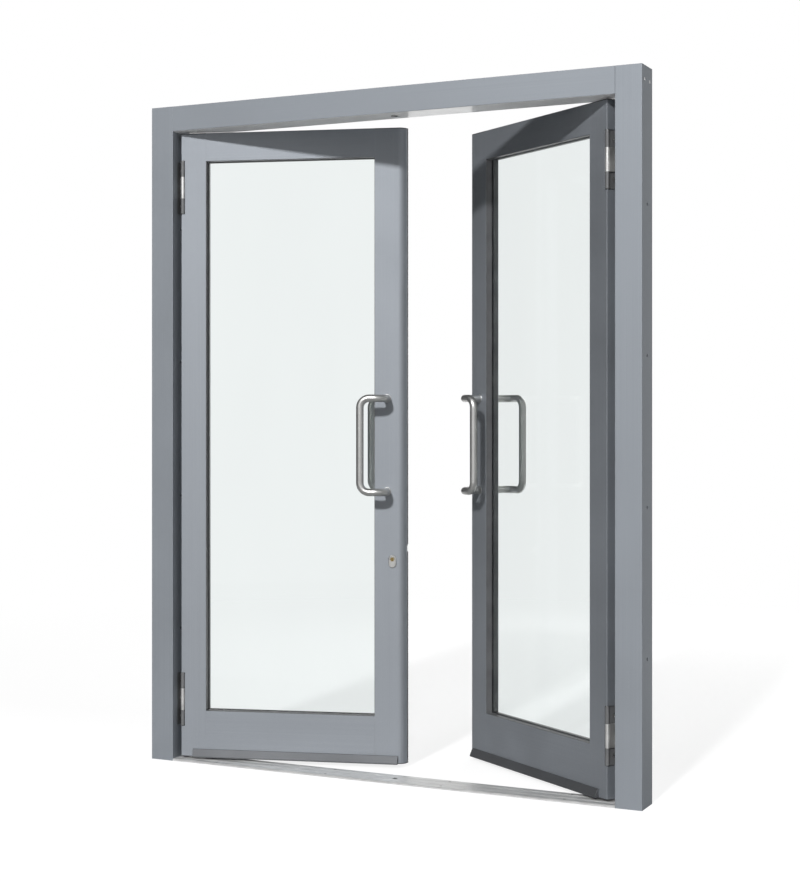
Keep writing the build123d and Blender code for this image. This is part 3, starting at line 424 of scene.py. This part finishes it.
# Stiles, rails and glazing beads of the leaves: hollow aluminium extrusions in the same coat as the
# frame, screwed together through the stiles. The beads snap in behind the glass.
leaf_coat = (0.322, 0.343, 0.372, 1.0)
stile_coat = coated("stile_coat", leaf_coat)
for side, hand in hands.items():
    rail_turn = hand * opened[side]
    rail_coat = coated(f"{side}_rail_coat", leaf_coat, rail_turn, upright=False)
    dress(stile_coat, f"{side}_hinge_stile", f"{side}_meeting_stile")
    dress(rail_coat, f"{side}_top_rail", f"{side}_bottom_rail", f"{side}_glazing_beads")


# Caps on the ends of the stiles, moulded in black plastic with a fine grain. They are pressed into the
# hollow profiles and close them against dirt and water.
cap_plastic = moulded("cap_plastic", (0.045, 0.046, 0.05, 1), 0.5, 1100.0)
dress(cap_plastic, "left_stile_caps", "right_stile_caps")


# Panes of clear float glass with a faint green cast, and a few smears left from cleaning. They stand on
# plastic blocks between two rubber gaskets.
glass_cast = (0.868, 0.905, 0.9, 1)
glass_bending = 1.25


def pane(name):
    material, tree, shader, place = blank_material(name)
    smears = noise(tree, place, 5.0, 6.0, (1.0, 1.0, 0.35))
    tinted(tree, shader, glass_cast, spread(tree, smears, 0.985, 1.0))
    tree.links.new(spread(tree, smears, 0.0, 0.012), shader.inputs["Roughness"])
    shader.inputs["Transmission Weight"].default_value = 1.0
    shader.inputs["IOR"].default_value = glass_bending
    return material


glass = pane("float_glass")
gasket_rubber = moulded("gasket_rubber", (0.085, 0.087, 0.091, 1), 0.34, 700.0, 0.1)
for side in hands:
    dress(glass, f"{side}_glass_pane")
    dress(gasket_rubber, f"{side}_glazing_gaskets", f"{side}_setting_blocks")


# Lips of the gaskets: extruded rubber beads that stand out of the joint on both faces of the glass
# and run round its corners in one length.
lip_sizes = {"Width": 561.8 * mm, "Height": 1803.3 * mm, "Corner radius": 3.0 * mm, "Lip radius": 1.6 * mm}
sight_middle = (366.25 * mm, 1067.0 * mm)
lip_depths = (20.5 * mm, 33.5 * mm)
tree, given = size_tree("gasket_lips", lip_sizes)
outline = put(tree, "GeometryNodeCurvePrimitiveQuadrilateral",
              {"Width": given["Width"], "Height": given["Height"]})
rounded = put(tree, "GeometryNodeFilletCurve",
              {"Curve": outline.outputs[0], "Count": 5, "Radius": given["Corner radius"]}, mode="POLY")
section = put(tree, "GeometryNodeCurvePrimitiveCircle", {"Resolution": 10, "Radius": given["Lip radius"]})
lip = put(tree, "GeometryNodeCurveToMesh",
          {"Curve": rounded.outputs[0], "Profile Curve": section.outputs[0]})
lips = put(tree, "GeometryNodeJoinGeometry")
for depth in lip_depths:
    moved = put(tree, "GeometryNodeTransform", {"Geometry": lip.outputs[0], "Translation": (0, 0, -depth)})
    tree.links.new(moved.outputs[0], lips.inputs[0])
close_tree(tree, lips.outputs[0], gasket_rubber)
upright = Matrix.Rotation(math.radians(90), 4, "X")
stand_up = Matrix.Translation((sight_middle[0], 0, sight_middle[1])) @ upright
for side in hands:
    gasket_lips = grown(f"{side}_gasket_lips", tree, lip_sizes, gasket_rubber, leaf_place(side) @ stand_up)
    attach(gasket_lips, f"{side}_leaf")


# Pull handles: stainless round bar, bent twice so that the grip stands off the stile, satin ground.
# Front and rear handles are joined through the stile by studs, and each foot sits on a thin ring.
steel_colour = (0.56, 0.56, 0.55, 1)
grinding_scale = (140, 140, 1600)


def satin_steel(name, turn):
    material, tree, shader, place = blank_material(name)
    turned = put(tree, "ShaderNodeMapping", {"Vector": place, "Rotation": (0, 0, -turn)}).outputs[0]
    ground = noise(tree, turned, 1.0, 3.0, grinding_scale)
    prints = noise(tree, place, 22.0, 5.0)
    tinted(tree, shader, steel_colour, spread(tree, ground, 0.96, 1.04))
    shader.inputs["Metallic"].default_value = 1.0
    tree.links.new(spread(tree, prints, 0.4, 0.46), shader.inputs["Roughness"])
    tree.links.new(pressed_in(tree, 0.02, 0.1 * mm, ground), shader.inputs["Normal"])
    return material


ring_sizes = {"Ring radius": 12.6 * mm, "Bead radius": 1.3 * mm}
handle_ends = (890.0, 1190.0)
handle_base = 688.5
for side, hand in hands.items():
    handle_steel = satin_steel(f"{side}_handle_steel", hand * opened[side])
    dress(handle_steel, f"{side}_front_pull_handle", f"{side}_rear_pull_handle", f"{side}_handle_studs")
    tree, given = size_tree(f"{side}_handle_rings", ring_sizes)
    path = put(tree, "GeometryNodeCurvePrimitiveCircle", {"Resolution": 32, "Radius": given["Ring radius"]})
    bead = put(tree, "GeometryNodeCurvePrimitiveCircle", {"Resolution": 10, "Radius": given["Bead radius"]})
    ring = put(tree, "GeometryNodeCurveToMesh",
               {"Curve": path.outputs[0], "Profile Curve": bead.outputs[0]})
    close_tree(tree, at_seeds(tree, given, ring.outputs[0]), handle_steel)
    across = facing(leaf_place(side).to_3x3() @ Vector((0, 1, 0)))
    feet = []
    for height in handle_ends:
        for depth in (0, leaf_depth):
            spot = leaf_place(side) @ Vector((handle_base * mm, depth * mm, height * mm))
            feet.append((tuple(spot), across))
    rings = grown(f"{side}_handle_rings", tree, ring_sizes, handle_steel, seeds=feet)
    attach(rings, f"{side}_leaf")


# Lock in the left leaf: a steel case with a sliding deadbolt, a nickel-plated cylinder with a brass
# plug, a thumb turn at the rear and two cast collars. A folded steel box in the right leaf takes the
# bolt, and two round bolts in guides hold that leaf to head and floor.
case_steel = bare_metal("case_steel", (0.4, 0.4, 0.385, 1), 0.42, (120, 120, 120), 0.1)
bolt_steel = bare_metal("bolt_steel", (0.55, 0.55, 0.53, 1), 0.28, (30, 30, 200), 0.1)
nickel = bare_metal("nickel_plate", (0.47, 0.467, 0.455, 1), 0.48, (150, 150, 150), 0.08)
brass = bare_metal("plug_brass", (0.52, 0.4, 0.19, 1), 0.3, (150, 150, 150), 0.08)
dress(case_steel, "lock_case", "strike_box", "bolt_guides")
dress(bolt_steel, "deadbolt", "top_flush_bolt", "bottom_flush_bolt", "bolt_keeps")
dress(nickel, "lock_cylinder", "thumb_turn", "cylinder_escutcheons")
dress(brass, "lock_plug")


# Drip bars: slanted aluminium weather bars, glued along the foot of the front faces, where they throw rain
# off over the threshold.
# They are coloured darker than the leaves as painted shade along the foot of the leaves.
drip_painted_shade = (0.138, 0.143, 0.151, 1.0)
for side, hand in hands.items():
    dress(coated(f"{side}_drip_painted_shade", drip_painted_shade, hand * opened[side], upright=False), f"{side}_drip_bar")


# Brushes under the bottom rails: nylon bristles woven into a thin strip, which is slid into a groove
# of the rail.
def pile(name, colour):
    material, tree, shader, place = blank_material(name)
    tufts = noise(tree, place, 420.0, 2.0)
    dust = noise(tree, place, 14.0, 4.0)
    tone = product(tree, spread(tree, tufts, 0.55, 1.5), spread(tree, dust, 0.85, 1.2))
    tinted(tree, shader, colour, tone)
    shader.inputs["Roughness"].default_value = 0.85
    shader.inputs["Sheen Weight"].default_value = 0.3
    tree.links.new(pressed_in(tree, 0.4, 0.5 * mm, tufts), shader.inputs["Normal"])
    return material


nylon = pile("brush_nylon", (0.05, 0.05, 0.052, 1))
brush_sizes = {"Length": 560.0 * mm, "Width": 6.4 * mm, "Columns": 560, "Rows": 5,
               "Bristle height": 12.6 * mm, "Bristle radius": 0.42 * mm, "Scatter": 0.5 * mm, "Lean": 0.07,
               "Seed": 7, "Strip height": 1.2 * mm}
brush_end_clearance = 8.0 * mm
tree, given = size_tree("bristle_strip", brush_sizes)
field = put(tree, "GeometryNodeMeshGrid", {"Size X": given["Length"], "Size Y": given["Width"],
                                           "Vertices X": given["Columns"], "Vertices Y": given["Rows"]})
back = product(tree, given["Scatter"], -1.0)
shake = put(tree, "FunctionNodeRandomValue",
            {0: numbers(tree, back, back), 1: numbers(tree, given["Scatter"], given["Scatter"]),
             "Seed": given["Seed"]}, data_type="FLOAT_VECTOR")
scattered = put(tree, "GeometryNodeSetPosition", {"Geometry": field.outputs[0], "Offset": shake.outputs[0]})
tip_radius = product(tree, given["Bristle radius"], 0.45)
bristle = put(tree, "GeometryNodeMeshCone",
              {"Vertices": 4, "Radius Top": tip_radius, "Radius Bottom": given["Bristle radius"],
               "Depth": given["Bristle height"]})
lean_back = product(tree, given["Lean"], -1.0)
full_turn = 6.28
tilt = put(tree, "FunctionNodeRandomValue",
           {0: numbers(tree, lean_back, lean_back), 1: numbers(tree, given["Lean"], given["Lean"], full_turn),
            "Seed": given["Seed"]}, data_type="FLOAT_VECTOR")
turned = put(tree, "FunctionNodeEulerToRotation", {0: tilt.outputs[0]})
length = put(tree, "FunctionNodeRandomValue", {2: 0.9, 3: 1.0, "Seed": given["Seed"]}, data_type="FLOAT")
planted = put(tree, "GeometryNodeInstanceOnPoints",
              {"Points": scattered.outputs[0], "Instance": bristle.outputs[0],
               "Rotation": turned.outputs[0], "Scale": numbers(tree, 1.0, 1.0, length.outputs[1])})
strip_size = numbers(tree, given["Length"], given["Width"], given["Strip height"])
strip = put(tree, "GeometryNodeMeshCube", {"Size": strip_size})
brush = put(tree, "GeometryNodeJoinGeometry", {0: planted.outputs[0]})
tree.links.new(strip.outputs[0], brush.inputs[0])
close_tree(tree, at_seeds(tree, given, brush.outputs[0]), nylon)
hang_down = Matrix.Rotation(math.radians(180), 4, "X")
for side in hands:
    low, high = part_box(f"{side}_bottom_brush")
    middle = (low + high) / 2
    run = Vector((high.x - low.x, high.y - low.y)).length
    turn = leaf_place(side).to_3x3().to_4x4()
    place = Matrix.Translation((middle.x, middle.y, high.z)) @ turn @ hang_down
    sizes = dict(brush_sizes)
    sizes["Length"] = run - 2 * brush_end_clearance
    sizes["Bristle height"] = high.z - low.z
    sizes["Columns"] = int(run / mm)
    bristles = grown(f"{side}_brush_bristles", tree, sizes, nylon, place, [((0, 0, 0), (0, 0, 0))])
    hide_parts(f"{side}_bottom_brush")
    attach(bristles, f"{side}_leaf")


# Seal in the nose of the left leaf: short nylon pile on a strip of the same kind, slid into a groove of
# the meeting stile in two runs, with a gap between them for the bolt.
seal_sizes = {"Length": 33.4 * mm, "Width": 4.6 * mm, "Columns": 28, "Rows": 5,
              "Bristle height": 3.6 * mm, "Bristle radius": 0.45 * mm, "Scatter": 0.35 * mm, "Lean": 0.1,
              "Seed": 11, "Strip height": 0.8 * mm}
seal_runs = ((13.0, 695.0, 20), (719.0, 2062.0, 40))
seal_foot = 749.9
nose = leaf_place("left")
outward = nose.to_3x3() @ Vector((1, 0, 0))
upward = Vector((0, 0, 1))
seal_turn = tuple(Matrix((upward, outward.cross(upward), outward)).transposed().to_euler())
seal_seeds = []
for start, end, count in seal_runs:
    for index in range(count):
        height = start + (end - start) * (index + 0.5) / count
        spot = nose @ Vector((seal_foot * mm, leaf_depth / 2 * mm, height * mm))
        seal_seeds.append((tuple(spot), seal_turn))
seal_pile = grown("meeting_seal_pile", tree, seal_sizes, nylon, seeds=seal_seeds)
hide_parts("meeting_seal")
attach(seal_pile, "left_leaf")


# Studio: a pale floor that fades into a white backdrop, a low sun in front, a dim room and a tall soft
# lamp behind, so that the rear isn't dark. Floor and backdrop are white where they are seen or mirrored.
sun_strength = 2.85
sun_height = 31.5
sun_side = 3.0
sun_width = 4.0
side_light = 0.05
front_light = 0.36
right_light = 0.75
right_light_rear_share = 0.3
front_range = (-0.95, -0.5)
right_range = (0.3, 0.8)
right_fade = (-0.2, 0.3)
backdrop_light = 1.0
backdrop_way = (-0.43, 0.9, 0)
backdrop_start = 0.86
backdrop_full = 0.95
rear_lamp_power = 120.0
rear_lamp_place = (0.6, 4.6, 2.5)
rear_lamp_size = (3.0, 4.8)
rear_lamp_aim = (0, 0, 1.0)
front_glow = 0.88
rear_glow = 0.79
floor_grey = 0.5
floor_share_seen = 0.5
floor_share_diffuse = 1.75
floor_radius = 5.6
floor_mirrored = 0.8
glow_range = (-0.6, 0.6)
mirrored_range = (0.6, 1.5)
floor_fade = (2.4, 5.0)

sun_data = bpy.data.lights.new("sun", "SUN")
sun_data.energy = sun_strength
sun_data.angle = math.radians(sun_width)
sun = bpy.data.objects.new("sun", sun_data)
flat = math.cos(math.radians(sun_height))
toward_sun = Vector((flat * math.sin(math.radians(sun_side)), -flat * math.cos(math.radians(sun_side)),
                     math.sin(math.radians(sun_height))))
sun.rotation_euler = facing(toward_sun)
scene.collection.objects.link(sun)

lamp_data = bpy.data.lights.new("rear_lamp", "AREA")
lamp_data.shape = "RECTANGLE"
lamp_data.size = rear_lamp_size[0]
lamp_data.size_y = rear_lamp_size[1]
lamp_data.energy = rear_lamp_power
lamp = bpy.data.objects.new("rear_lamp", lamp_data)
lamp.location = rear_lamp_place
lamp.rotation_euler = facing(lamp.location - Vector(rear_lamp_aim))
lamp.visible_camera = False
lamp.visible_transmission = False
scene.collection.objects.link(lamp)


def seen_rays(tree):
    rays = put(tree, "ShaderNodeLightPath").outputs
    straight = worked_out(tree, "LESS_THAN", rays["Glossy Depth"], 0.5)
    either = worked_out(tree, "MAXIMUM", rays["Is Camera Ray"], rays["Is Transmission Ray"])
    return rays, product(tree, either, straight)


def toward_backdrop(tree, way):
    level = put(tree, "ShaderNodeVectorMath", {0: way, 1: backdrop_way}, operation="DOT_PRODUCT")
    made = put(tree, "ShaderNodeMapRange",
               {"Value": level.outputs["Value"], "From Min": backdrop_start, "From Max": backdrop_full},
               interpolation_type="SMOOTHSTEP")
    return made.outputs[0]


world = bpy.data.worlds.new("room")
scene.world = world
world.use_nodes = True
tree = world.node_tree
direction = put(tree, "ShaderNodeTexCoord").outputs["Generated"]
rays, seen = seen_rays(tree)
mirrored = product(tree, toward_backdrop(tree, direction), rays["Is Glossy Ray"])
white = worked_out(tree, "MAXIMUM", seen, mirrored)
ways = put(tree, "ShaderNodeSeparateXYZ", {0: direction}).outputs
ahead = spread(tree, ways["Y"], front_light, 0.0, *front_range)
right = spread(tree, ways["X"], 0.0, right_light, *right_range)
right = product(tree, right, spread(tree, ways["Y"], 1.0, right_light_rear_share, *right_fade))
room = worked_out(tree, "ADD", worked_out(tree, "ADD", ahead, right), side_light)
background = tree.nodes["Background"]
background.inputs["Color"].default_value = (1, 1, 1, 1)
tree.links.new(spread(tree, white, room, backdrop_light, 0.0, 1.0), background.inputs["Strength"])

floor_mesh = bpy.data.meshes.new("floor")
shell = bmesh.new()
bmesh.ops.create_circle(shell, cap_ends=True, segments=96, radius=floor_radius)
shell.to_mesh(floor_mesh)
shell.free()
floor = bpy.data.objects.new("floor", floor_mesh)
scene.collection.objects.link(floor)
material, tree, shader, place = blank_material("pale_floor")
shader.inputs["Roughness"].default_value = 0.9
shader.inputs["Specular IOR Level"].default_value = 0.0
speckle = noise(tree, place, 60.0, 3.0)
rays, seen = seen_rays(tree)
share = product(tree, spread(tree, speckle, 0.99, 1.0), spread(tree, seen, 1.0, floor_share_seen, 0.0, 1.0))
bounced = spread(tree, rays["Is Diffuse Ray"], 1.0, floor_share_diffuse, 0.0, 1.0)
tinted(tree, shader, (floor_grey, floor_grey, floor_grey, 1), product(tree, share, bounced))
shader.inputs["Emission Color"].default_value = (1, 1, 1, 1)
depth = put(tree, "ShaderNodeSeparateXYZ", {0: place}).outputs["Y"]
own_glow = product(tree, seen, spread(tree, depth, front_glow, rear_glow, *glow_range))
mirrored = product(tree, rays["Is Glossy Ray"], spread(tree, depth, 0.0, floor_mirrored, *mirrored_range))
tree.links.new(worked_out(tree, "MAXIMUM", own_glow, mirrored), shader.inputs["Emission Strength"])
heading = put(tree, "ShaderNodeVectorMath", {0: place}, operation="NORMALIZE").outputs[0]
mirrored_far = product(tree, toward_backdrop(tree, heading), rays["Is Glossy Ray"])
lit_far = worked_out(tree, "MAXIMUM", seen, mirrored_far)
glow = put(tree, "ShaderNodeEmission", {"Color": (1, 1, 1, 1)})
tree.links.new(spread(tree, lit_far, side_light, 1.0, 0.0, 1.0), glow.inputs["Strength"])
distance = put(tree, "ShaderNodeVectorMath", {0: place}, operation="LENGTH").outputs["Value"]
far = put(tree, "ShaderNodeMapRange",
          {"Value": distance, "From Min": floor_fade[0], "From Max": floor_fade[1]},
          interpolation_type="SMOOTHSTEP").outputs[0]
fade = put(tree, "ShaderNodeMixShader", {0: far, 1: shader.outputs[0], 2: glow.outputs[0]})
tree.links.new(fade.outputs[0], tree.nodes["Material Output"].inputs["Surface"])
floor_mesh.materials.append(material)

scene.view_settings.view_transform = "Standard"
